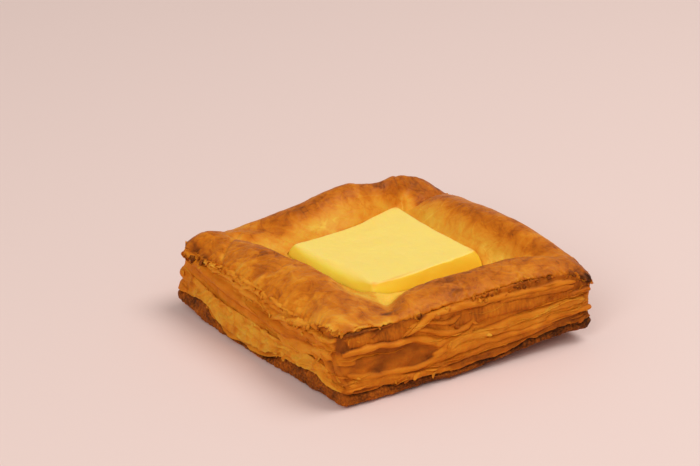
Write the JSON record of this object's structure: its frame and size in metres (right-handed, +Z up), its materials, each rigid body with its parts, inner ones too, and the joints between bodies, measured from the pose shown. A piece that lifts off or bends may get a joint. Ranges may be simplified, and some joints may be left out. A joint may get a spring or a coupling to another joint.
{
  "type": "danish pastry",
  "caption": "Square flaky danish pastry with swollen golden rims round a square well that holds a block of set custard.",
  "frame": {"origin": "centre of the part's box on the surface it rests on", "axes": "+Z up, +X and +Y along the sides of the square; the near corner is at -X -Y"},
  "size_m": [0.107, 0.1036, 0.0348],
  "materials": {
    "baked_crust": "egg-washed puff pastry, golden brown to orange, satin on the crests, matt and flaky at the sides",
    "set_custard": "smooth set custard, pale yellow on top, deeper yellow on its sides"
  },
  "bodies": {
    "root": {"pastry": "baked_crust", "custard": "set_custard"}
  },
  "joints": []
}
